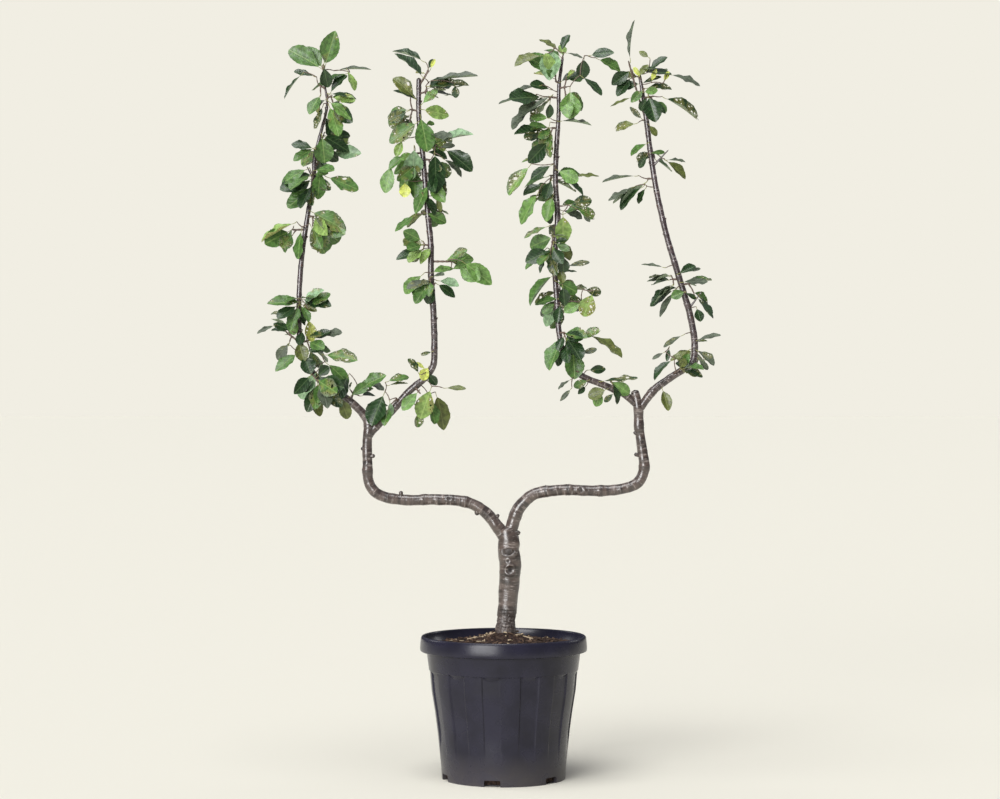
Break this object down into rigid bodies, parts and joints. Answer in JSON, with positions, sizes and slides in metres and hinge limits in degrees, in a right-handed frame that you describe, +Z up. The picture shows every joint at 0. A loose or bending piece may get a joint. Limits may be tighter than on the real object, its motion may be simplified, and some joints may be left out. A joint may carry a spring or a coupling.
{
  "type": "potted plum tree",
  "caption": "Young plum tree trained flat as a double U on a short trunk, with leafy spurs on its uprights, in a round fluted nursery container of compost.",
  "frame": {"origin": "centre of the flat underside of the container", "axes": "+Z up along the trunk, +X to the plant's right seen from the front, -Y towards the front; the trained limbs spread along X"},
  "size_m": [0.8404, 0.31, 1.3945],
  "materials": {
    "container": "satin",
    "compost": "matte",
    "old_bark": "matte",
    "young_bark": "satin",
    "foliage": "matte"
  },
  "bodies": {
    "root": {"pot": "container", "soil": "compost", "trunk": "old_bark", "arm_left_level": "old_bark", "arm_left_riser": "old_bark", "arm_right_level": "old_bark", "arm_right_riser": "old_bark", "left_outer_foot": "young_bark", "left_outer_upright": "young_bark", "left_inner_foot": "young_bark", "left_inner_upright": "young_bark", "right_inner_foot": "young_bark", "right_inner_upright": "young_bark", "right_outer_foot": "young_bark", "right_outer_upright": "young_bark", "leaves_left_outer_tip": "foliage", "leaves_left_outer_upper_left": "foliage", "leaves_left_outer_upper_right": "foliage", "leaves_left_outer_high": "foliage", "leaves_left_outer_middle": "foliage", "leaves_left_outer_lower_right": "foliage", "leaves_left_outer_lower_left": "foliage", "leaves_left_outer_low": "foliage", "leaves_left_outer_bottom_left": "foliage", "leaves_left_outer_bottom_right": "foliage", "leaves_left_outer_foot_outer": "foliage", "leaves_left_outer_foot_inner": "foliage", "leaves_left_inner_tip": "foliage", "leaves_left_inner_upper_right": "foliage", "leaves_left_inner_upper_left": "foliage", "leaves_left_inner_high_right": "foliage", "leaves_left_inner_middle_left": "foliage", "leaves_left_inner_middle_right": "foliage", "leaves_left_inner_middle": "foliage", "leaves_left_inner_low_left": "foliage", "leaves_left_inner_low_right": "foliage", "leaves_left_inner_low": "foliage", "leaves_left_inner_foot_right": "foliage", "leaves_left_inner_foot_left": "foliage", "leaves_right_inner_tip": "foliage", "leaves_right_inner_upper_left": "foliage", "leaves_right_inner_upper_right": "foliage", "leaves_right_inner_high_left": "foliage", "leaves_right_inner_middle_left": "foliage", "leaves_right_inner_middle": "foliage", "leaves_right_inner_lower": "foliage", "leaves_right_inner_low_middle": "foliage", "leaves_right_inner_low": "foliage", "leaves_right_inner_bottom": "foliage", "leaves_right_inner_foot_outer": "foliage", "leaves_right_inner_foot_inner": "foliage", "leaves_right_outer_tip": "foliage", "leaves_right_outer_side_shoot": "foliage", "leaves_right_outer_upper_right": "foliage", "leaves_right_outer_high": "foliage", "leaves_right_outer_middle": "foliage", "leaves_right_outer_low_left": "foliage", "leaves_right_outer_low_right": "foliage", "leaves_right_outer_bottom": "foliage", "leaves_right_outer_foot": "foliage"}
  },
  "joints": []
}
